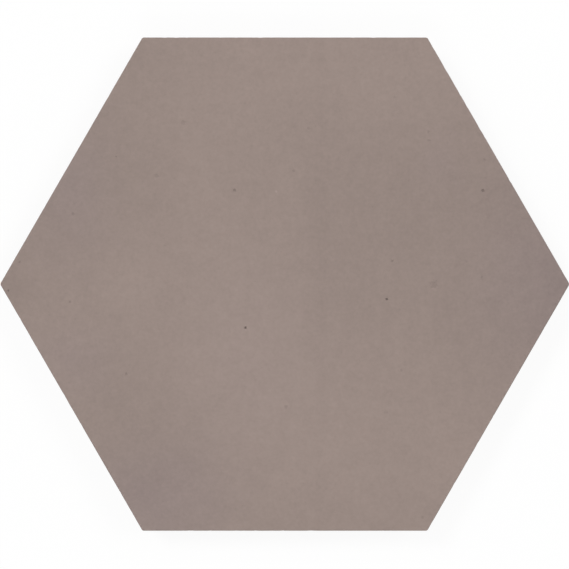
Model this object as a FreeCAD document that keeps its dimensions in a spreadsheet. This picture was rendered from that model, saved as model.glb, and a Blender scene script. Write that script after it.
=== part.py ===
# Hexagonal cement floor tile, pressed face down in a steel mould.
#
# The frame is +Z up, with the origin at the centre of the back, which lies on the floor.
# The wearing face is on top. Two corners point along X, and two edges run parallel to X.
# The edges lean in towards the back by the mould's draft, so the wearing face is the
# largest section, and its size is the size that the tile is sold by. The back carries a
# honeycomb of shallow keys for the adhesive, with ribs between them, a plain land in the
# middle and a plain rim around.
#
# All lengths are in millimetres and all angles in degrees.

import FreeCAD
import Part
import Sketcher

import math
import os

NODE = "hexagon_tile"
SIDES = 6
FULL_TURN = 360.0
ROOT_3 = math.sqrt(3.0)

# Rings of keys round the plain land in the middle of the back. They are laid out as like
# rhombs of keys, turned about the middle.
KEY_RINGS = 4
RHOMBS = 3

# Name, value and meaning of each driving dimension.
DIMENSIONS = (
    ("across_flats", 200.0, "wearing face, from edge to opposite edge"),
    ("thickness", 16.0, "back to wearing face"),
    ("edge_draft", 1.5, "lean of each edge towards the back, degrees"),
    ("corner_radius", 1.0, "round of the six upright corners"),
    ("face_arris", 0.4, "round where the edges meet the wearing face"),
    ("back_arris", 0.5, "chamfer where the edges meet the back"),
    ("rim_width", 13.0, "plain border from the outer keys' corners to the back's edge"),
    ("rib_width", 4.0, "plain rib between two keys, at the back"),
    ("key_depth", 1.5, "depth of the keys"),
    ("key_draft", 25.0, "lean of the keys' walls, degrees"),
)

# The pitch of the keys, from what the rim leaves of the back. Square to an edge, from the
# middle to the rim, each ring of keys adds sqrt(3) / 2 of a pitch, and the last one then
# adds half of a key, which is (pitch - rib) / sqrt(3).
HALF_BACK = "(Dimensions.across_flats / 2 - Dimensions.thickness * tan(Dimensions.edge_draft))"
ROOM_FOR_KEYS = f"({HALF_BACK} - Dimensions.rim_width)"
KEY_PITCH = (
    f"({ROOM_FOR_KEYS} + Dimensions.rib_width / sqrt(3))"
    f" / ({KEY_RINGS} * sqrt(3) / 2 + 1 / sqrt(3))"
)


def make_sheet(doc):
    """The driving dimensions, one row each: name, value and meaning."""
    sheet = doc.addObject("Spreadsheet::Sheet", "Dimensions")
    for row, (name, value, meaning) in enumerate(DIMENSIONS, start=1):
        sheet.set(f"A{row}", name)
        sheet.set(f"B{row}", str(value))
        sheet.set(f"C{row}", meaning)
        sheet.setAlias(f"B{row}", name)
    doc.recompute()
    return sheet


def new_sketch(body, name):
    """An empty sketch on the body's XY plane, which is the plane of the back."""
    plane = next(f for f in body.Origin.OriginFeatures if f.Role == "XY_Plane")
    sketch = body.newObject("Sketcher::SketchObject", name)
    sketch.AttachmentSupport = [(plane, "")]
    sketch.MapMode = "FlatFace"
    return sketch


def draw_hexagon(sketch, centre, circumradius, first_corner):
    """A regular hexagon with its corners on a construction circle.

    first_corner is the angle of the first corner, in degrees. Returns the indices of the
    sides, and that of the circle. The hexagon's place, turn and size are left free.
    """
    turns = [math.radians(first_corner + i * FULL_TURN / SIDES) for i in range(SIDES)]
    corners = [
        centre + FreeCAD.Vector(circumradius * math.cos(turn), circumradius * math.sin(turn))
        for turn in turns
    ]
    sides = [
        sketch.addGeometry(Part.LineSegment(corners[i], corners[(i + 1) % SIDES]), False)
        for i in range(SIDES)
    ]
    up = FreeCAD.Vector(0, 0, 1)
    circle = sketch.addGeometry(Part.Circle(centre, up, circumradius), True)
    for i, side in enumerate(sides):
        following = sides[(i + 1) % SIDES]
        sketch.addConstraint(Sketcher.Constraint("Coincident", side, 2, following, 1))
        sketch.addConstraint(Sketcher.Constraint("PointOnObject", side, 1, circle))
    for side in sides[1:]:
        sketch.addConstraint(Sketcher.Constraint("Equal", sides[0], side))
    return sides, circle


def bind(sketch, constraint, name, expression):
    """Adds a dimension to the sketch, names it and ties it to the sheet."""
    index = sketch.addConstraint(constraint)
    sketch.renameConstraint(index, name)
    sketch.setExpression(f"Constraints.{name}", expression)


def names_between(kind, elements, low, high):
    """Names of the edges or faces whose corners reach from one height to the other.

    Two heights are the same if they agree to a thousandth of a millimetre.
    """
    wanted = (round(low, 3), round(high, 3))
    names = []
    for i, element in enumerate(elements, start=1):
        heights = [round(vertex.Z, 3) for vertex in element.Vertexes]
        if (min(heights), max(heights)) == wanted:
            names.append(f"{kind}{i}")
    return names


def add_slab(doc, body, sheet):
    """The hexagonal slab, with its edges leaning in from the wearing face to the back."""
    outline = new_sketch(body, "Outline")
    sides, circle = draw_hexagon(outline, FreeCAD.Vector(), sheet.across_flats / ROOT_3, 0.0)
    top_side, bottom_side = sides[1], sides[4]
    outline.addConstraint(Sketcher.Constraint("Coincident", circle, 3, -1, 1))
    outline.addConstraint(Sketcher.Constraint("Horizontal", top_side))
    flats = Sketcher.Constraint("DistanceY", bottom_side, 1, top_side, 1, sheet.across_flats)
    bind(outline, flats, "AcrossFlats", "Dimensions.across_flats")

    slab = body.newObject("PartDesign::Pad", "Slab")
    slab.Profile = outline
    slab.setExpression("Length", "Dimensions.thickness")
    doc.recompute()

    faces = slab.Shape.Faces
    draft = body.newObject("PartDesign::Draft", "EdgeDraft")
    draft.Base = (slab, names_between("Face", faces, 0, sheet.thickness))
    draft.NeutralPlane = (slab, names_between("Face", faces, sheet.thickness, sheet.thickness))
    draft.setExpression("Angle", "Dimensions.edge_draft")
    draft.Reversed = True
    doc.recompute()
    return draft


def add_rounds(doc, body, sheet, slab):
    """Rounds the upright corners and the face's arris, and chamfers the back's arris."""
    top = sheet.thickness
    corners = body.newObject("PartDesign::Fillet", "UprightCorners")
    corners.Base = (slab, names_between("Edge", slab.Shape.Edges, 0, top))
    corners.setExpression("Radius", "Dimensions.corner_radius")
    doc.recompute()

    face_arris = body.newObject("PartDesign::Fillet", "FaceArris")
    face_arris.Base = (corners, names_between("Edge", corners.Shape.Edges, top, top))
    face_arris.setExpression("Radius", "Dimensions.face_arris")
    doc.recompute()

    back_arris = body.newObject("PartDesign::Chamfer", "BackArris")
    back_arris.Base = (face_arris, names_between("Edge", face_arris.Shape.Edges, 0, 0))
    back_arris.setExpression("Size", "Dimensions.back_arris")
    doc.recompute()


def draw_first_key(body, sheet):
    """The mouth of the key beside the middle land, towards +X, and the way across.

    The way across is a construction line from the centre of the tile, a third of a turn
    from +X, along which the rows of a rhomb follow one another.
    """
    sketch = new_sketch(body, "FirstKey")
    rough_pitch = sheet.across_flats / 2 / (KEY_RINGS + 1)
    centre = FreeCAD.Vector(rough_pitch, 0, 0)
    circumradius = rough_pitch / 2
    sides, circle = draw_hexagon(sketch, centre, circumradius, FULL_TURN / SIDES / 2)
    upright_side = sides[2]
    sketch.addConstraint(Sketcher.Constraint("Vertical", upright_side))
    sketch.addConstraint(Sketcher.Constraint("PointOnObject", circle, 3, -1))
    pitch = Sketcher.Constraint("DistanceX", -1, 1, circle, 3, rough_pitch)
    bind(sketch, pitch, "Pitch", KEY_PITCH)
    mouth = Sketcher.Constraint("Radius", circle, circumradius)
    bind(sketch, mouth, "Mouth", "(Constraints.Pitch - Dimensions.rib_width * 1 mm) / sqrt(3)")

    way_across = FreeCAD.Vector(-rough_pitch / 2, rough_pitch * ROOT_3 / 2)
    across = sketch.addGeometry(Part.LineSegment(FreeCAD.Vector(), way_across), True)
    sketch.addConstraint(Sketcher.Constraint("Coincident", across, 1, -1, 1))
    turn = math.radians(FULL_TURN / RHOMBS)
    sketch.addConstraint(Sketcher.Constraint("Angle", -1, 1, across, 1, turn))
    length = Sketcher.Constraint("Distance", across, rough_pitch)
    bind(sketch, length, "WayAcross", "Constraints.Pitch")
    return sketch


def add_keys(doc, body, sheet):
    """Sinks the keys into the back in rings round the middle land, and drafts their walls.

    Each rhomb has as many keys in a row as there are rings, and one row more than that, so
    the three of them fill the rings with none left out and none twice.
    """
    first_key = draw_first_key(body, sheet)
    key = body.newObject("PartDesign::Pocket", "Key")
    key.Profile = first_key
    key.Reversed = True
    key.setExpression("Length", "Dimensions.key_depth")
    doc.recompute()

    keys = body.newObject("PartDesign::MultiTransform", "Keys")
    keys.Originals = [key]
    steps = []
    ways = (("KeyRow", "H_Axis", KEY_RINGS), ("KeyRows", "Axis0", KEY_RINGS + 1))
    for name, axis, count in ways:
        step = body.newObject("PartDesign::LinearPattern", name)
        step.Direction = (first_key, [axis])
        step.Mode = "Spacing"
        step.setExpression("Offset", "FirstKey.Constraints.Pitch")
        step.Occurrences = count
        steps.append(step)
    turns = body.newObject("PartDesign::PolarPattern", "KeyRhombs")
    turns.Axis = (first_key, ["N_Axis"])
    turns.Angle = FULL_TURN
    turns.Occurrences = RHOMBS
    keys.Transformations = steps + [turns]
    body.Tip = keys
    doc.recompute()

    faces = keys.Shape.Faces
    draft = body.newObject("PartDesign::Draft", "KeyDraft")
    draft.Base = (keys, names_between("Face", faces, 0, sheet.key_depth))
    draft.NeutralPlane = (keys, names_between("Face", faces, 0, 0))
    draft.setExpression("Angle", "Dimensions.key_draft")
    draft.Reversed = True
    doc.recompute()


def check_model(doc, body):
    """Stops with an error if anything in the document failed, before a file is written."""
    for item in doc.Objects:
        if "Invalid" in item.State or "Error" in item.State:
            raise RuntimeError(f"{item.Name} failed: {item.State}")
    shape = body.Shape
    if shape.isNull() or not shape.isValid() or len(shape.Solids) != 1:
        raise RuntimeError(f"{body.Label} isn't one valid solid")


def main():
    doc = FreeCAD.newDocument("HexagonFloorTile")
    sheet = make_sheet(doc)
    body = doc.addObject("PartDesign::Body", "Tile")
    body.Label = NODE
    slab = add_slab(doc, body, sheet)
    add_rounds(doc, body, sheet, slab)
    add_keys(doc, body, sheet)
    doc.recompute()
    check_model(doc, body)
    os.makedirs("parts", exist_ok=True)
    body.Shape.exportStep(f"parts/{body.Label}.step")


main()
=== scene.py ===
# Hexagonal cement floor tile: its surface and finish, a plain studio and the camera.
#
# Lengths are in metres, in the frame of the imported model, unless a comment says that they
# are in millimetres. The back lies on z = 0, the wearing face is on top, two corners point
# along X and two edges run parallel to X.

import math
import random
from collections import namedtuple

import bmesh
import bpy
import numpy as np
from mathutils import Matrix, Vector, noise


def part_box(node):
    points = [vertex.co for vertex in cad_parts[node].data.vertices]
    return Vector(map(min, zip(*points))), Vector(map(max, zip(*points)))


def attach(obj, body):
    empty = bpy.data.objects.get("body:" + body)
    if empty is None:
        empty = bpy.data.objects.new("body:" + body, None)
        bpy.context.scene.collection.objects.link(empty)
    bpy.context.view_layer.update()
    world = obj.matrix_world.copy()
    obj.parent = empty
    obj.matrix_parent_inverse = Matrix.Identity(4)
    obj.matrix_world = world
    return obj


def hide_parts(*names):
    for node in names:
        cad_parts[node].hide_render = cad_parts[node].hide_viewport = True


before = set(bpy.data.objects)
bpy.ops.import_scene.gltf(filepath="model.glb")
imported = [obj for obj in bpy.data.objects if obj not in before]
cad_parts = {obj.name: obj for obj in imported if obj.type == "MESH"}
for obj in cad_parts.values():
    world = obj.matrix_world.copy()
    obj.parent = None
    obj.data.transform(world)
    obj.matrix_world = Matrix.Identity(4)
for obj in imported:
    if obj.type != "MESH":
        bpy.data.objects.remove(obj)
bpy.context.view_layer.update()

NODE = "hexagon_tile"
MM = 0.001
SIDES = 6
ROOT_3 = math.sqrt(3)
UP = Vector((0, 0, 1))
QUARTER_TURN = Matrix.Rotation(math.pi / 2, 4, UP)

# The ways that the tile's edges face, seen from above.
EDGE_WAYS = [
    Vector((math.cos(turn), math.sin(turn), 0))
    for turn in (math.pi / SIDES * (1 + 2 * i) for i in range(SIDES))
]

# The pressed form. The node's box ends where the arris's round meets the leaning edge, a
# little inside the sharp edge that the sizes of the face and the back are taken from.
NODE_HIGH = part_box(NODE)[1]
EDGE_DRAFT = math.radians(1.5)
CORNER_RADIUS = 1.0 * MM
FACE_ARRIS = 0.4 * MM
BACK_ARRIS = 0.5 * MM
THICKNESS = NODE_HIGH.z
FACE_APOTHEM = NODE_HIGH.y + FACE_ARRIS * math.tan(EDGE_DRAFT)
BACK_APOTHEM = FACE_APOTHEM - THICKNESS * math.tan(EDGE_DRAFT)

# The keys in the back, in rings round a plain land. Their pitch follows from the rest, as
# the corners of the outermost keys end where the rim begins.
KEY_RINGS = 4
RIM_WIDTH = 13.0 * MM
RIB_WIDTH = 4.0 * MM
KEY_DEPTH = 1.5 * MM
KEY_DRAFT = math.radians(25)
KEY_ROUND = 0.3 * MM
KEY_LEAN = KEY_DEPTH * math.tan(KEY_DRAFT)
KEY_PITCH = (BACK_APOTHEM - RIM_WIDTH + RIB_WIDTH / ROOT_3) / (
    KEY_RINGS * ROOT_3 / 2 + 1 / ROOT_3
)
# The ways that the walls of a key face, seen from above.
WALL_WAYS = [QUARTER_TURN @ way for way in EDGE_WAYS]

# How finely the edges and the face are divided, as the length of a step or as the number
# of rows, and how wide the two strips are that join a field to its arris.
EDGE_STEP = 0.8 * MM
EDGE_ROWS = 14
FACE_STEP = 2.0 * MM
MARGIN = 0.3 * MM
STRIP = 1.4 * MM
# In the back, edges longer than this are cut. Those across a rib or a wall are shorter.
BACK_LONG = 1.5 * RIB_WIDTH
BACK_CUTS = 3
# How many times the edges near a pore may be halved.
HALVINGS = 5

# Points this near to a height count as level with it, and points this near to each other
# are made one. A cap is a face whose normal has at least this much of it upright.
LEVEL_WITHIN = 0.001 * MM
ONE_WITHIN = 0.01 * MM
CAP_UPRIGHT = 0.9

# Pinholes in the wearing face: where they are and how wide, in millimetres, and how dark.
# How dark they are is shade painted into the pits. The darker ones are the deeper ones, and
# one fleck, with no pit, is lighter than the face.
FACE_PINHOLES = (
    (-15.9, -17.6, 1.1, 0.72),
    (41.3, -6.1, 1.05, 0.62),
    (80.3, 37.9, 1.3, 0.42),
    (-20.4, 38.1, 1.4, 0.35),
    (-112.0, -2.6, 0.85, 0.45),
    (-107.5, 9.0, 1.2, 0.22),
    (-41.1, 65.5, 2.2, 0.13),
    (-68.4, 51.6, 0.7, 0.3),
    (-52.0, 43.9, 1.9, 0.13),
    (58.1, 61.8, 1.2, 0.14),
    (58.4, 58.2, 1.5, 0.13),
    (60.5, -0.2, 3.2, 0.12),
    (0.4, -49.7, 1.6, 0.17),
    (-64.4, -36.4, 1.3, 0.24),
    (43.5, 9.4, 1.1, 0.25),
    (41.0, -51.9, 1.8, 0.1),
    (3.6, 45.9, 1.3, 0.17),
    (-3.4, 37.6, 1.2, -0.22),
    (-87.0, -7.2, 1.2, 0.18),
    (-85.8, 28.5, 1.3, 0.17),
    (55.8, -94.4, 1.2, 0.17),
    (9.5, 63.0, 1.3, 0.17),
    (79.7, 3.0, 1.2, 0.15),
    (47.3, -35.0, 1.3, 0.15),
    (80.9, 50.5, 1.2, 0.14),
    (44.5, 75.7, 1.2, 0.12),
)

# Chance pores in the edges: how many there are, their radii in millimetres, the shares of
# the thickness between which they lie, and how far they lie at most from the middle of an
# edge, as a share of the face's apothem.
EDGE_PORES = 48
EDGE_PORE_RADII = (0.25, 0.6)
EDGE_PORE_HEIGHTS = (0.08, 0.85)
EDGE_PORE_SPREAD = 0.55

# Chance pores in the back, of which those by the walls of the keys are left out: how many
# there are, their radii in millimetres, and how far they lie at most from the middle, as a
# share of the back's apothem.
BACK_PORES = 60
BACK_PORE_RADII = (0.3, 0.9)
BACK_PORE_SPREAD = 0.96

# For both kinds: the seed of the chance draws, a factor that varies the radii further, and
# how dark they are, as shade painted into them.
PORE_SEED = 12
PORE_VARIETY = (0.6, 1.1)
PAINTED_PORE_SHADE_RANGE = (0.3, 0.7)

# A pore's depth, and the longest step of the surface in it, as shares of its radius. The
# pinholes of the face all have the same step.
PORE_DEPTH = 0.9
PORE_STEP = 0.6
PINHOLE_STEP = 0.15 * MM

# The step grows again with the distance from a pore, from this share of its radius on and
# at this rate. Beyond its reach it is free, which is longer than any edge.
STEP_GROWS_FROM = 1.2
STEP_GROWTH = 1.2
STEP_REACH = 5 * MM
FREE_STEP = 1.0

# A chance field has three layers of bumps, each half as large and half as strong as the one
# before. Fields of different seeds are taken this far apart, in sizes of a bump.
FIELD_LAYERS = (1.0, 2.0, 3)
SEED_STEPS = (13.7, 7.3, 3.1)

# Unevenness of the surface, coarse to fine, in millimetres: the size of the bumps, and how
# deep they are in the face, the edges and the back. The seeds are 1, 2 and 3.
UNEVENNESS = (
    (30, 0.03, 0.03, 0.05),
    (7, 0.006, 0.05, 0.08),
    (1.6, 0, 0.03, 0),
)
# This lifts a chance field, so that nearly all of the surface sinks a little.
FIELD_LIFT = 0.7
# How far a point's normal turns up where the face begins and where it is all face, and how
# far it turns down for the back.
ON_FACE = (0.7, 0.95)
ON_BACK = (0.5, 0.9)
# Beside the wearing face the edges have this share of their unevenness, and all of it from
# this share of the thickness down.
EVENER_SHARE = 0.25
EVENER_DOWN_TO = 0.6

# Nicks along an arris: how deep, how far from the arris they reach, and the value of a
# chance field from which there is one. From FULL_NICK on it is a full one.
Nicks = namedtuple("Nicks", "depth reach least")
FACE_NICKS = Nicks(0.12 * MM, 0.9 * MM, 0.3)
BACK_NICKS = Nicks(0.3 * MM, 1.6 * MM, 0.25)
FULL_NICK = 0.7
NICK_LENGTH = 2.6 * MM
NICK_SEED = 4

# How ragged the outline of a pore is, and over which length.
PORE_RAGGED = 0.5
RAGGED_LENGTH = 0.5 * MM
RAGGED_SEED = 5
# A pore is cut in points within its reach, where the surface faces its way at least this
# much. It is a cup, a little fuller than a parabola, and the shade painted in it is at its
# darkest from this share of the parabola's depth on.
PORE_REACH = 3 * MM
PORE_FACING = 0.7
PORE_FULLNESS = 0.8
PORE_DARK_FROM = 0.6

Pore = namedtuple("Pore", "centre facing radius depth dark step")


# The surface.


def round_off(bm, edges, offset, segments):
    """Rounds these edges. The round starts this far from each edge, on its two faces."""
    bmesh.ops.bevel(
        bm,
        geom=edges,
        offset=offset,
        offset_type="OFFSET",
        segments=segments,
        profile=0.5,
        affect="EDGES",
        material=-1,
    )


def level_edges(bm, height):
    """The edges that lie at this height."""
    return [
        edge
        for edge in bm.edges
        if all(abs(vert.co.z - height) < LEVEL_WITHIN for vert in edge.verts)
    ]


def tall_edges(bm):
    """The edges that rise through most of the thickness."""
    return [
        edge
        for edge in bm.edges
        if abs(edge.verts[0].co.z - edge.verts[1].co.z) > THICKNESS / 2
    ]


def press_slab():
    """The solid slab with its rounds and arrises, and its edges in short steps."""
    bm = bmesh.new()
    bmesh.ops.create_cone(
        bm,
        cap_ends=True,
        segments=SIDES,
        radius1=BACK_APOTHEM * 2 / ROOT_3,
        radius2=FACE_APOTHEM * 2 / ROOT_3,
        depth=THICKNESS,
        matrix=Matrix.Translation(UP * THICKNESS / 2) @ QUARTER_TURN,
    )
    round_off(bm, tall_edges(bm), CORNER_RADIUS * math.tan(math.pi / SIDES), segments=4)
    face_offset = FACE_ARRIS * math.tan(math.pi / 4 + EDGE_DRAFT / 2)
    round_off(bm, level_edges(bm, THICKNESS), face_offset, segments=4)
    round_off(bm, level_edges(bm, 0), BACK_ARRIS, segments=3)

    along = [edge for edge in bm.edges if edge.calc_length() > FACE_APOTHEM]
    steps = round(FACE_APOTHEM * 2 / ROOT_3 / EDGE_STEP)
    bmesh.ops.subdivide_edges(bm, edges=along, cuts=steps - 1)
    bmesh.ops.subdivide_edges(bm, edges=tall_edges(bm), cuts=EDGE_ROWS - 1)
    bm.normal_update()
    return bm


def open_cap(bm, side):
    """Opens the flat cap on this side (1 up, -1 down), inside a margin. Returns the rim."""
    cap = max(bm.faces, key=lambda face: face.calc_area() * (face.normal.z * side > CAP_UPRIGHT))
    bmesh.ops.inset_region(bm, faces=[cap], thickness=MARGIN, use_even_offset=True)
    rim = list(cap.edges)
    bmesh.ops.delete(bm, geom=[cap], context="FACES_ONLY")
    return rim


def join(bm, field, rim):
    """Adds the field to the slab and closes the strip between its border and the rim."""
    part = bpy.data.meshes.new("field")
    field.to_mesh(part)
    field.free()
    before = set(bm.edges)
    bm.from_mesh(part)
    bpy.data.meshes.remove(part)
    border = [edge for edge in bm.edges if edge not in before and len(edge.link_faces) == 1]
    bmesh.ops.bridge_loops(bm, edges=rim + border)


def lay_face(bm):
    """The wearing face: an even field of small triangles, joined to the arris."""
    rim = open_cap(bm, 1)
    field = bmesh.new()
    apothem = FACE_APOTHEM - FACE_ARRIS - MARGIN - STRIP
    bmesh.ops.create_circle(
        field,
        cap_ends=True,
        cap_tris=True,
        segments=SIDES,
        radius=apothem * 2 / ROOT_3,
        matrix=Matrix.Translation(UP * THICKNESS) @ QUARTER_TURN,
    )
    steps = round(apothem * 2 / ROOT_3 / FACE_STEP)
    bmesh.ops.subdivide_edges(field, edges=field.edges[:], cuts=steps - 1, use_grid_fill=True)
    join(bm, field, rim)


def comb_cells():
    """The centre of each cell of the back's honeycomb, and whether it is sunk as a key."""
    along = Vector((KEY_PITCH, 0, 0))
    slanting = Vector((-KEY_PITCH / 2, KEY_PITCH * ROOT_3 / 2, 0))
    rings = KEY_RINGS + 1
    cells = []
    for i in range(-rings, rings + 1):
        for j in range(-rings, rings + 1):
            ring = max(abs(i), abs(j), abs(i - j))
            if ring <= rings:
                cells.append((i * along + j * slanting, 0 < ring < rings))
    return cells


def sink_keys(bm):
    """The back: a honeycomb whose inner cells are sunk as keys, cut to the back's outline."""
    rim = open_cap(bm, -1)
    comb = bmesh.new()
    keys = []
    for centre, sunk in comb_cells():
        made = bmesh.ops.create_circle(
            comb,
            cap_ends=True,
            cap_tris=not sunk,
            segments=SIDES,
            radius=KEY_PITCH / ROOT_3,
            matrix=Matrix.Translation(centre),
        )
        keys += [face for face in made["verts"][0].link_faces if sunk]
    bmesh.ops.remove_doubles(comb, verts=comb.verts[:], dist=ONE_WITHIN)
    comb.normal_update()
    bmesh.ops.reverse_faces(comb, faces=[face for face in comb.faces if face.normal.z > 0])
    inset = bmesh.ops.inset_individual
    inset(comb, faces=keys, thickness=RIB_WIDTH / 2, use_even_offset=True)
    inset(comb, faces=keys, thickness=KEY_LEAN, depth=-KEY_DEPTH, use_even_offset=True)
    bmesh.ops.poke(comb, faces=keys)

    long_edges = [edge for edge in comb.edges if edge.calc_length() > BACK_LONG]
    bmesh.ops.subdivide_edges(comb, edges=long_edges, cuts=BACK_CUTS, use_grid_fill=True)
    border = BACK_APOTHEM - BACK_ARRIS - MARGIN - STRIP
    for way in EDGE_WAYS:
        everything = comb.verts[:] + comb.edges[:] + comb.faces[:]
        bmesh.ops.bisect_plane(
            comb, geom=everything, plane_co=way * border, plane_no=way, clear_outer=True
        )
    creases = [edge for edge in comb.edges if edge.calc_face_angle(0) > KEY_DRAFT / 2]
    round_off(comb, creases, KEY_ROUND, segments=2)
    join(bm, comb, rim)


def coordinates(mesh):
    """The places of the mesh's points, one row each."""
    places = np.empty(len(mesh.vertices) * 3)
    mesh.vertices.foreach_get("co", places)
    return places.reshape(-1, 3)


def refine(bm, longest, passes):
    """Halves edges of triangles that are longer than longest gives for their middles.

    Where two edges of a triangle are halved, so is the third, so that only triangles are
    made.
    """
    state = bpy.data.meshes.new("state")
    for _ in range(passes):
        bm.to_mesh(state)
        ends = np.empty(len(state.edges) * 2, dtype=int)
        state.edges.foreach_get("vertices", ends)
        ends = coordinates(state)[ends.reshape(-1, 2)]
        length = np.linalg.norm(ends[:, 0] - ends[:, 1], axis=1)
        halved = length > longest(ends.mean(axis=1))
        sides = np.empty(len(state.loops), dtype=int)
        state.loops.foreach_get("edge_index", sides)
        sides = sides.reshape(-1, 3)
        two_of_three = sides
        while len(two_of_three):
            two_of_three = sides[halved[sides].sum(axis=1) == 2]
            halved[two_of_three] = True
        bm.edges.ensure_lookup_table()
        edges = [bm.edges[i] for i in np.flatnonzero(halved)]
        bmesh.ops.subdivide_edges(
            bm, edges=edges, cuts=1, use_single_edge=True, use_grid_fill=True
        )
    bpy.data.meshes.remove(state)


def clear_of_walls(centre, radius):
    """Whether a pore in the back stays clear of the rounded walls of the keys."""
    middle_of_wall = (KEY_PITCH - RIB_WIDTH - KEY_LEAN) / 2
    reach = KEY_LEAN / 2 + KEY_ROUND + radius
    for cell, sunk in comb_cells():
        away = max((centre - cell).dot(way) for way in WALL_WAYS)
        if sunk and abs(away - middle_of_wall) < reach:
            return False
    return True


def place_pinholes():
    """The pinholes of the wearing face."""
    pores = []
    for x, y, width, dark in FACE_PINHOLES:
        centre = Vector((x * MM, y * MM, THICKNESS))
        radius = width * MM / 2
        depth = PORE_DEPTH * radius * max(dark, 0)
        pores.append(Pore(centre, UP, radius, depth, dark, PINHOLE_STEP))
    return pores


def chance_pore(chance, centre, facing, radii):
    """A pore of chance size at this place, with a chance darkness of shade painted in it."""
    radius = chance.uniform(*radii) * chance.uniform(*PORE_VARIETY) * MM
    dark = chance.uniform(*PAINTED_PORE_SHADE_RANGE)
    return Pore(centre, facing, radius, PORE_DEPTH * radius, dark, PORE_STEP * radius)


def scatter_pores():
    """Chance pores in the edges and, clear of the keys' walls, in the back."""
    chance = random.Random(PORE_SEED)
    pores = []
    for _ in range(EDGE_PORES):
        way = chance.choice(EDGE_WAYS)
        aside = chance.uniform(-EDGE_PORE_SPREAD, EDGE_PORE_SPREAD) * FACE_APOTHEM
        height = chance.uniform(*EDGE_PORE_HEIGHTS) * THICKNESS
        out = BACK_APOTHEM + height * math.tan(EDGE_DRAFT)
        centre = way * out + UP.cross(way) * aside + UP * height
        pores.append(chance_pore(chance, centre, way, EDGE_PORE_RADII))
    for _ in range(BACK_PORES):
        turn = chance.uniform(0, math.tau)
        out = BACK_APOTHEM * BACK_PORE_SPREAD * math.sqrt(chance.random())
        centre = Vector((math.cos(turn), math.sin(turn), 0)) * out
        pore = chance_pore(chance, centre, -UP, BACK_PORE_RADII)
        if clear_of_walls(centre, pore.radius):
            pores.append(pore)
    return pores


def near_pore(pore, points, reach):
    """Which points are this near to the pore, and how far each is, square to its facing."""
    centre = np.array(pore.centre)
    near = np.flatnonzero(np.abs(points - centre).max(axis=1) < reach)
    away = points[near] - centre
    depth = away @ np.array(pore.facing)
    return near, np.sqrt(np.maximum((away**2).sum(axis=1) - depth**2, 0))


def step_near(pores):
    """The longest edge that is left at a point, from how near it is to a pore."""

    def longest(points):
        step = np.full(len(points), FREE_STEP)
        for pore in pores:
            near, away = near_pore(pore, points, STEP_REACH)
            beyond = np.maximum(away - STEP_GROWS_FROM * pore.radius, 0)
            step[near] = np.minimum(step[near], pore.step + STEP_GROWTH * beyond)
        return step

    return longest


def chance_field(points, size, seed):
    """Soft chance values about zero, mostly within 0.6, that change over this length."""
    start = Vector([seed * step for step in SEED_STEPS])
    places = [Vector(point) / size + start for point in points]
    return np.array([noise.fractal(place, *FIELD_LAYERS) for place in places])


def smooth_step(low, high, values):
    """0 at low and beyond, 1 at high and beyond, and a soft change between."""
    share = np.clip((values - low) / (high - low), 0, 1)
    return share * share * (3 - 2 * share)


def sink_unevenly(points, normals):
    """How far each point sinks below the even surface."""
    on_face = smooth_step(*ON_FACE, normals[:, 2])
    on_back = smooth_step(*ON_BACK, -normals[:, 2])
    on_edge = 1 - np.maximum(on_face, on_back)
    down_the_edge = smooth_step(THICKNESS, EVENER_DOWN_TO * THICKNESS, points[:, 2])
    on_edge *= EVENER_SHARE + (1 - EVENER_SHARE) * down_the_edge
    sunk = np.zeros(len(points))
    for seed, (size, in_face, in_edge, in_back) in enumerate(UNEVENNESS, start=1):
        bumps = chance_field(points, size * MM, seed) + FIELD_LIFT
        sunk += bumps * (in_face * on_face + in_edge * on_edge + in_back * on_back)
    return np.maximum(sunk, 0) * MM


def nick_depths(nicks, field, to_arris):
    """How deep the nicks of an arris are at each point."""
    full = smooth_step(nicks.least, FULL_NICK, field)
    return nicks.depth * full * smooth_step(nicks.reach, 0, to_arris)


def nick_arrises(points):
    """How far and which way the nicks are cut at each point."""
    reach = np.array([points @ np.array(way) for way in EDGE_WAYS])
    out = reach.max(axis=0)
    ways = np.array(EDGE_WAYS)[reach.argmax(axis=0)]
    field = chance_field(points, NICK_LENGTH, NICK_SEED)
    to_face_arris = np.hypot(FACE_APOTHEM - out, THICKNESS - points[:, 2])
    to_back_arris = np.hypot(BACK_APOTHEM - out, points[:, 2])
    face_nicks = nick_depths(FACE_NICKS, field, to_face_arris)
    back_nicks = nick_depths(BACK_NICKS, field, to_back_arris)
    return face_nicks[:, None] * (ways + UP) + back_nicks[:, None] * (ways - UP)


def open_pores(points, normals, pores):
    """How far and which way the pores are cut at each point, and how dark the shade painted in
    them makes it; a fleck makes it lighter.
    """
    cut = np.zeros(points.shape)
    dark = np.zeros(len(points))
    ragged = 1 + PORE_RAGGED * chance_field(points, RAGGED_LENGTH, RAGGED_SEED)
    for pore in pores:
        facing = np.array(pore.facing)
        near, away = near_pore(pore, points, PORE_REACH)
        share = away / (pore.radius * ragged[near])
        cup = np.where(normals[near] @ facing > PORE_FACING, np.maximum(1 - share**2, 0), 0)
        cut[near] += (cup**PORE_FULLNESS * pore.depth)[:, None] * facing
        dark[near] += smooth_step(0, PORE_DARK_FROM, cup) * pore.dark
    return cut, dark


def weather(mesh, pores):
    """Gives the pressed surface its slight unevenness, nicked arrises and pores."""
    points = coordinates(mesh)
    normals = np.array([vert.normal[:] for vert in mesh.vertices])
    sunk = sink_unevenly(points, normals)
    nicks = nick_arrises(points)
    cut, dark = open_pores(points, normals, pores)
    points -= normals * sunk[:, None] + nicks + cut
    mesh.vertices.foreach_set("co", points.ravel())
    # The shade to be painted into the pores, and the fleck's lighter colour.
    mesh.attributes.new("pore", "FLOAT", "POINT").data.foreach_set("value", dark)


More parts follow.
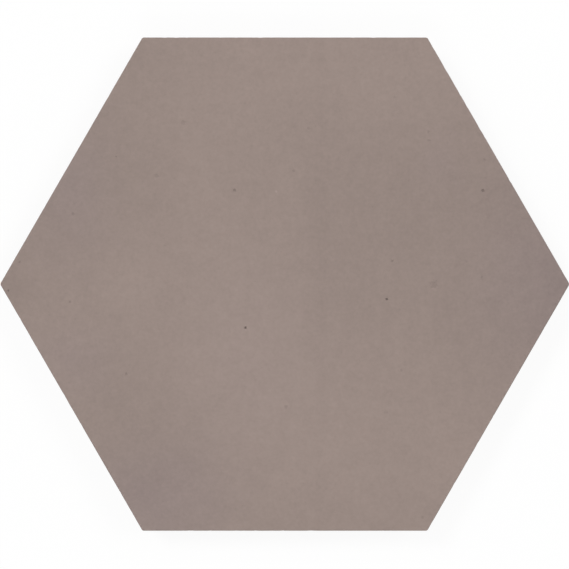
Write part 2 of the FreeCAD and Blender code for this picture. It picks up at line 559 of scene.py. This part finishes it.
def build_tile():
    """The tile: the pressed form, finer where its pores are, and then weathered."""
    bm = press_slab()
    lay_face(bm)
    sink_keys(bm)
    pores = place_pinholes() + scatter_pores()
    bmesh.ops.triangulate(bm, faces=bm.faces[:])
    refine(bm, step_near(pores), HALVINGS)
    bmesh.ops.recalc_face_normals(bm, faces=bm.faces[:])
    mesh = bpy.data.meshes.new("tile")
    bm.to_mesh(mesh)
    bm.free()
    weather(mesh, pores)
    mesh.shade_smooth()
    tile = bpy.data.objects.new("tile", mesh)
    bpy.context.scene.collection.objects.link(tile)
    weigh = tile.modifiers.new("weigh_normals", "WEIGHTED_NORMAL")
    weigh.mode = "FACE_AREA"
    return tile


# The finish.


class Value:
    """A socket of a node. Sums are written on it as on a number."""

    def __init__(self, nodes, socket):
        self.nodes = nodes
        self.socket = socket

    def math(self, operation, *values):
        """Arithmetic on these values."""
        return self.nodes.node("ShaderNodeMath", dict(enumerate(values)), operation=operation)

    def __add__(self, other):
        return self.math("ADD", self, other)

    def __radd__(self, other):
        return self.math("ADD", other, self)

    def __sub__(self, other):
        return self.math("SUBTRACT", self, other)

    def __rsub__(self, other):
        return self.math("SUBTRACT", other, self)

    def __mul__(self, other):
        return self.math("MULTIPLY", self, other)

    def __rmul__(self, other):
        return self.math("MULTIPLY", other, self)

    def __neg__(self):
        return self.math("MULTIPLY", self, -1.0)

    def exp(self):
        """e to the power of the value."""
        return self.math("EXPONENT", self)

    def at_most(self, other):
        """The smaller of the two."""
        return self.math("MINIMUM", self, other)


# A noise: the size of its spots in millimetres, how detailed and how rough they are, its
# strength, in the unit that is said with it, and its relief in millimetres.
Texture = namedtuple("Texture", "size detail roughness strength relief", defaults=(2, 0.5, 0, 0))


class Nodes:
    """The nodes of a material or of the world, and the ways in which they are added."""

    def __init__(self, owner, output):
        owner.use_nodes = True
        self.tree = owner.node_tree
        self.tree.nodes.clear()
        self.output = self.tree.nodes.new(output)

    def node(self, kind, inputs, output=0, **settings):
        """Adds a node, with its settings first and then its inputs. Returns an output."""
        made = self.tree.nodes.new(kind)
        for name, value in settings.items():
            setattr(made, name, value)
        for key, value in inputs.items():
            if isinstance(value, Value):
                self.tree.links.new(value.socket, made.inputs[key])
            else:
                made.inputs[key].default_value = value
        return Value(self, made.outputs[output])

    def show(self, shader):
        """Sends the shader to the output."""
        self.tree.links.new(shader.socket, self.output.inputs["Surface"])

    def vector(self, operation, *values, output=0):
        """Arithmetic on these vectors."""
        inputs = dict(enumerate(values))
        return self.node("ShaderNodeVectorMath", inputs, output, operation=operation)

    def scaled(self, vector, factor):
        """The vector, or the colour, times the factor."""
        return self.node("ShaderNodeVectorMath", {0: vector, "Scale": factor}, operation="SCALE")

    def split(self, vector):
        """The three parts of a vector."""
        made = self.node("ShaderNodeSeparateXYZ", {0: vector}).socket.node
        return [Value(self, socket) for socket in made.outputs]

    def noise(self, place, texture):
        """Chance values about zero, mostly within 0.4."""
        wanted = {
            "Vector": place,
            "Scale": 1 / texture.size,
            "Detail": texture.detail,
            "Roughness": texture.roughness,
        }
        return self.node("ShaderNodeTexNoise", wanted) - 0.5

    def soft_step(self, low, high, value):
        """0 at low and below, 1 at high and above, and a soft change between."""
        wanted = {0: value, 1: low, 2: high, 3: 0.0, 4: 1.0}
        return self.node("ShaderNodeMapRange", wanted, interpolation_type="SMOOTHSTEP")

    def mix(self, share, first, second):
        """From the first colour to the second."""
        wanted = {0: share, 6: first, 7: second}
        return self.node("ShaderNodeMix", wanted, output=2, data_type="RGBA")

    def patches(self, spot, places):
        """The sum of soft patches, each of a middle, half width, half height and strength."""
        total = 0.0
        for x, y, wide, high, strength in places:
            scale = (1 / wide, 1 / high, 0.0)
            middle = (-x / wide, -y / high, 0.0)
            aside = self.vector("MULTIPLY_ADD", spot, scale, middle)
            near = (-self.vector("DOT_PRODUCT", aside, aside, output="Value")).exp()
            total = near * strength + total
        return total

    def seen_directly(self):
        """1 for rays from the camera, in a reflection or through glass, and 0 for the rest."""
        rays = self.node("ShaderNodeLightPath", {}).socket.node.outputs
        camera = Value(self, rays["Is Camera Ray"])
        glossy = Value(self, rays["Is Glossy Ray"])
        through = Value(self, rays["Is Transmission Ray"])
        return (camera + glossy + through).at_most(1.0)


# Colours, as shares of red, green and blue light. The shift is added where the face is at
# its coolest.
FACE_COLOUR = (0.295, 0.231, 0.2045)
BODY_COLOUR = (0.307, 0.247, 0.222)
COOL_SHIFT = (-0.0007, -0.0006, 0.008)
WHITE = (1, 1, 1, 1)
PALE = (0.8, 0.8, 0.8, 1)

# One level is one of a screen's 256 steps of light, here as a share of the colour.
LEVEL = 0.016

# Soft clouds on the face, in millimetres: the middle, the half width and half height, and
# how many levels lighter or darker.
CLOUDS = (
    (-15, -28, 38, 45, 4.2),
    (-5, 90, 40, 26, 3.0),
    (-32, 52, 16, 45, 2.0),
    (22, -66, 36, 26, 2.8),
    (-62, 2, 14, 16, 2.0),
    (42, 82, 26, 16, 2.2),
    (118, 0, 28, 42, -8.2),
    (94, 40, 22, 22, -3.6),
    (84, -20, 26, 26, -1.8),
    (54, 38, 26, 24, -1.4),
    (-56, -80, 26, 22, -5.0),
    (-76, 48, 22, 24, -3.4),
    (-112, 0, 9, 13, -4.6),
    (-60, 88, 14, 14, -1.6),
    (-75, -38, 16, 16, -1.7),
    (-94, 26, 16, 22, -2.8),
    (50, -18, 14, 20, 1.7),
    (72, -74, 20, 28, 2.2),
    (-54, -46, 18, 16, -1.6),
    (60, 94, 18, 12, 1.5),
    (-34, 90, 24, 10, -1.4),
    (10, 70, 14, 12, -1.4),
)
# Where the face is a little bluer, in the same way, with 1 for the strongest.
COOL_CLOUDS = (
    (110, 2, 28, 40, 1.0),
    (-54, -86, 28, 22, 1.0),
    (-86, 38, 15, 24, 0.8),
    (-86, -30, 14, 14, 0.6),
    (-15, -30, 30, 36, 0.25),
    (62, 50, 7, 10, 0.4),
)
# The clouds wander, along X by this noise and along Y by the same noise taken elsewhere,
# both times this many millimetres.
DRIFT = Texture(26)
OTHER_DRIFT = (90.0, 40.0, 0.0)
CLOUD_WANDER = 14.0

# A wide field right of the middle is a little darker. Each of its soft borders is given as
# where it begins and where it ends, in millimetres. The left one wanders less.
FIELD_LEFT = (2.0, 14.0)
FIELD_RIGHT = (50.0, 95.0)
FIELD_BOTTOM = (-32.0, -12.0)
FIELD_TOP = (38.0, 70.0)
FIELD_WANDER = 3.0
FIELD_DARKER = 1.9
# By its left border runs a faint upright darker band, with a sharp and a soft side.
BAND_LEFT = (12.0, 13.4)
BAND_RIGHT = (15.0, 19.5)
BAND_DARKER = 0.9

# The textures of the face, with their strengths in levels. The streaks run along Y.
STREAKS = Texture(5, strength=1.4)
STREAK_SQUEEZE = (1.0, 0.07, 1.0)
MOTTLE = Texture(12, detail=1, roughness=1.0, strength=5)
GRIT = Texture(3, detail=1, roughness=1.0, strength=8, relief=0.02)
GRAIN = Texture(1.3, detail=1, roughness=0.7, strength=9, relief=0.012)
# The specks are dark and sunk. They lie where their noise, which is taken aside of the
# grain's, rises through these values.
SPECKS = Texture(1.3, detail=1, strength=3, relief=0.02)
SPECKS_ASIDE = (31.0, 7.0, 5.0)
SPECKS_FROM = (0.16, 0.3)

# The textures of the body, with their strengths as shares of the colour.
SAND = Texture(0.7, detail=3, roughness=0.7, strength=0.4, relief=0.14)
PATCHY = Texture(12, detail=4, strength=0.25, relief=0.1)
# The grains of sand in it: how far apart they are in millimetres, where their soft border
# lies as shares of that, how much lighter or darker they are, and their relief. Each has a
# chance value from 0 to 1, and is light above one pair of values and dark below the other.
GRAINS_APART = 1.3
GRAIN_BORDER = (0.15, 0.4)
GRAINS_STRENGTH = 0.16
GRAINS_RELIEF = 0.02
LIGHT_GRAINS = (0.86, 0.9)
DARK_GRAINS = (0.1, 0.14)

# The face's finish goes a little way down the edges. It takes over from the body's between
# these heights, and the border is ragged, all in millimetres.
PRESSED_FROM = (9.5, 14.5)
RAGGED_BORDER = Texture(8, detail=4, strength=6)

# How much darker the shade painted into a pore of darkness 1 makes it.
PAINTED_PORE_SHADE = 0.75
# How rough the body is, and how much smoother or rougher the other parts are.
BODY_ROUGHNESS = 0.72
PRESSED_SMOOTHER = 0.08
GRAIN_ROUGHER = 0.12
PORE_ROUGHER = 0.1
# How strongly the surface reflects, and how much of its relief it shows.
SPECULAR = 0.3
RELIEF_SHOWN = 0.6


def face_tone(finish, place):
    """How light the face is, in levels, and how cool, from 0 to 1."""
    x, y, _ = finish.split(place)
    drift = finish.noise(place, DRIFT)
    other_drift = finish.noise(finish.vector("ADD", place, OTHER_DRIFT), DRIFT)
    soft_x = x + drift * CLOUD_WANDER
    soft_y = y + other_drift * CLOUD_WANDER
    spot = finish.node("ShaderNodeCombineXYZ", {0: soft_x, 1: soft_y})

    field = finish.soft_step(*FIELD_LEFT, x + drift * FIELD_WANDER)
    field = field * (1 - finish.soft_step(*FIELD_RIGHT, soft_x))
    field = field * finish.soft_step(*FIELD_BOTTOM, soft_y)
    field = field * (1 - finish.soft_step(*FIELD_TOP, soft_y))
    band = finish.soft_step(*BAND_LEFT, x) * (1 - finish.soft_step(*BAND_RIGHT, x))
    streaks = finish.noise(finish.vector("MULTIPLY", place, STREAK_SQUEEZE), STREAKS)
    mottle = finish.noise(place, MOTTLE)
    tone = finish.patches(spot, CLOUDS) - field * FIELD_DARKER - band * BAND_DARKER
    tone = tone + streaks * STREAKS.strength + mottle * MOTTLE.strength
    cool = finish.patches(spot, COOL_CLOUDS).at_most(1.0)
    return tone, cool


def sand_grains(finish, place):
    """Grains of sand that show in the body, and whether each is light (1) or dark (-1)."""
    cells = {"Vector": place, "Scale": 1 / GRAINS_APART}
    apart = finish.node("ShaderNodeTexVoronoi", cells, output="Distance")
    chance, _, _ = finish.split(finish.node("ShaderNodeTexVoronoi", cells, output="Color"))
    light = finish.soft_step(*LIGHT_GRAINS, chance)
    dark = 1 - finish.soft_step(*DARK_GRAINS, chance)
    return (1 - finish.soft_step(*GRAIN_BORDER, apart)) * (light - dark)


def face_finish(finish, place):
    """The colour, the relief in millimetres and the grain of the pressed face."""
    tone, cool = face_tone(finish, place)
    grit = finish.noise(place, GRIT)
    grain = finish.noise(place, GRAIN)
    specks = finish.noise(finish.vector("ADD", place, SPECKS_ASIDE), SPECKS)
    specks = finish.soft_step(*SPECKS_FROM, specks)
    tone = tone + grit * GRIT.strength + grain * GRAIN.strength - specks * SPECKS.strength
    tinted = finish.vector("MULTIPLY_ADD", COOL_SHIFT, cool, FACE_COLOUR)
    relief = grain * GRAIN.relief - specks * SPECKS.relief + grit * GRIT.relief
    return finish.scaled(tinted, 1 + tone * LEVEL), relief, grain


def body_finish(finish, place):
    """The colour and the relief in millimetres of the sandy body."""
    sand = finish.noise(place, SAND)
    patchy = finish.noise(place, PATCHY)
    grains = sand_grains(finish, place)
    tone = 1 + sand * SAND.strength + patchy * PATCHY.strength + grains * GRAINS_STRENGTH
    relief = sand * SAND.relief + patchy * PATCHY.relief + grains * GRAINS_RELIEF
    return finish.scaled(BODY_COLOUR, tone), relief


def cement_finish():
    """A pigmented, pressed face on a slightly paler and sandier body."""
    material = bpy.data.materials.new("taupe_cement")
    finish = Nodes(material, "ShaderNodeOutputMaterial")
    coords = finish.node("ShaderNodeTexCoord", {}, output="Object")
    place = finish.scaled(coords, 1 / MM)
    pore = finish.node("ShaderNodeAttribute", {}, output="Fac", attribute_name="pore")

    face_colour, face_relief, grain = face_finish(finish, place)
    body_colour, body_relief = body_finish(finish, place)
    _, _, height = finish.split(place)
    ragged = finish.noise(place, RAGGED_BORDER) * RAGGED_BORDER.strength
    pressed = finish.soft_step(*PRESSED_FROM, height + ragged)
    colour = finish.mix(pressed, body_colour, face_colour)
    # Shade is painted into the pores, and the fleck is made lighter.
    colour = finish.scaled(colour, 1 - pore * PAINTED_PORE_SHADE)
    roughness = BODY_ROUGHNESS - pressed * PRESSED_SMOOTHER
    roughness = roughness + grain * GRAIN_ROUGHER + pore * PORE_ROUGHER
    relief = face_relief * pressed + body_relief * (1 - pressed)
    wanted = {"Strength": RELIEF_SHOWN, "Distance": MM, "Height": relief}
    bump = finish.node("ShaderNodeBump", wanted)
    shader = {
        "Base Color": colour,
        "Roughness": roughness,
        "Specular IOR Level": SPECULAR,
        "Normal": bump,
    }
    finish.show(finish.node("ShaderNodeBsdfPrincipled", shader))
    return material


def floor_finish():
    """A pale floor, which looks white where it is seen directly, apart from a shadow."""
    material = bpy.data.materials.new("pale_floor")
    finish = Nodes(material, "ShaderNodeOutputMaterial")
    pale = finish.node("ShaderNodeBsdfDiffuse", {"Color": PALE})
    shade = finish.node("ShaderNodeBsdfDiffuse", {"Color": WHITE})
    glow = finish.node("ShaderNodeEmission", {"Color": WHITE, "Strength": 1.0})
    white = finish.node("ShaderNodeMixShader", {0: FLOOR_GLOW, 1: shade, 2: glow})
    seen = finish.seen_directly()
    finish.show(finish.node("ShaderNodeMixShader", {0: seen, 1: pale, 2: white}))
    return material


# The studio and the camera.

# The camera looks straight down on the face, from this far above it, and a little aside of
# its middle. The lens and the width of the picture behind it are in millimetres.
CAMERA_AWAY = 0.6403
CAMERA_ASIDE = (-0.14 * MM, -0.16 * MM)
CAMERA_LENS = 100
SENSOR_WIDTH = 36

# The share of the light on the face that comes from all round.
WORLD_SHARE = 0.45
# Each lamp: its turn round the tile and its height above the horizon in degrees, its share
# of the light on the face, and its width. They hang this far from the middle of the face.
LAMPS = (
    ("key_lamp", 140, 52, 0.27, 1.6),
    ("fill_lamp", 20, 48, 0.16, 2.2),
    ("back_lamp", 260, 50, 0.12, 2.2),
)
LAMP_AWAY = 5.0

# The floor lies a hair below the tile. Seen directly, this share of it is plain white, and
# the rest shows the shadow.
FLOOR_WIDTH = 12.0
FLOOR_GAP = 0.05 * MM
FLOOR_GLOW = 0.9


def hang_lamps():
    """Soft round lamps, each aimed at the middle of the face."""
    for name, turn, height, share, width in LAMPS:
        lamp = bpy.data.lights.new(name, "AREA")
        lamp.shape = "DISK"
        lamp.size = width
        steep = math.sin(math.radians(height))
        # This power gives the level face this share of what a white sky gives it.
        lamp.energy = share * (math.pi * LAMP_AWAY) ** 2 / steep
        hung = bpy.data.objects.new(name, lamp)
        level = math.cos(math.radians(height))
        turned = math.radians(turn)
        way = Vector((level * math.cos(turned), level * math.sin(turned), steep))
        hung.location = way * LAMP_AWAY + UP * THICKNESS
        hung.rotation_euler = way.to_track_quat("Z", "Y").to_euler()
        bpy.context.scene.collection.objects.link(hung)


def light_world():
    """Soft light from all round, which looks white where it is seen directly."""
    world = bpy.data.worlds.new("studio")
    bpy.context.scene.world = world
    sky = Nodes(world, "ShaderNodeOutputWorld")
    strength = WORLD_SHARE + sky.seen_directly() * (1 - WORLD_SHARE)
    sky.show(sky.node("ShaderNodeBackground", {"Color": WHITE, "Strength": strength}))


def lay_floor():
    """A wide, level floor under the tile."""
    bm = bmesh.new()
    bmesh.ops.create_grid(bm, x_segments=1, y_segments=1, size=FLOOR_WIDTH / 2)
    bmesh.ops.translate(bm, verts=bm.verts[:], vec=-UP * FLOOR_GAP)
    mesh = bpy.data.meshes.new("floor")
    bm.to_mesh(mesh)
    bm.free()
    mesh.materials.append(floor_finish())
    floor = bpy.data.objects.new("floor", mesh)
    bpy.context.scene.collection.objects.link(floor)


def set_camera():
    """The camera above the tile, looking straight down."""
    lens = bpy.data.cameras.new("camera")
    lens.lens = CAMERA_LENS
    lens.sensor_width = SENSOR_WIDTH
    camera = bpy.data.objects.new("camera", lens)
    camera.location = (*CAMERA_ASIDE, THICKNESS + CAMERA_AWAY)
    bpy.context.scene.collection.objects.link(camera)
    bpy.context.scene.camera = camera


tile = build_tile()
tile.data.materials.append(cement_finish())
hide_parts(NODE)
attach(tile, "root")

set_camera()
hang_lamps()
light_world()
lay_floor()
bpy.context.scene.view_settings.view_transform = "Standard"
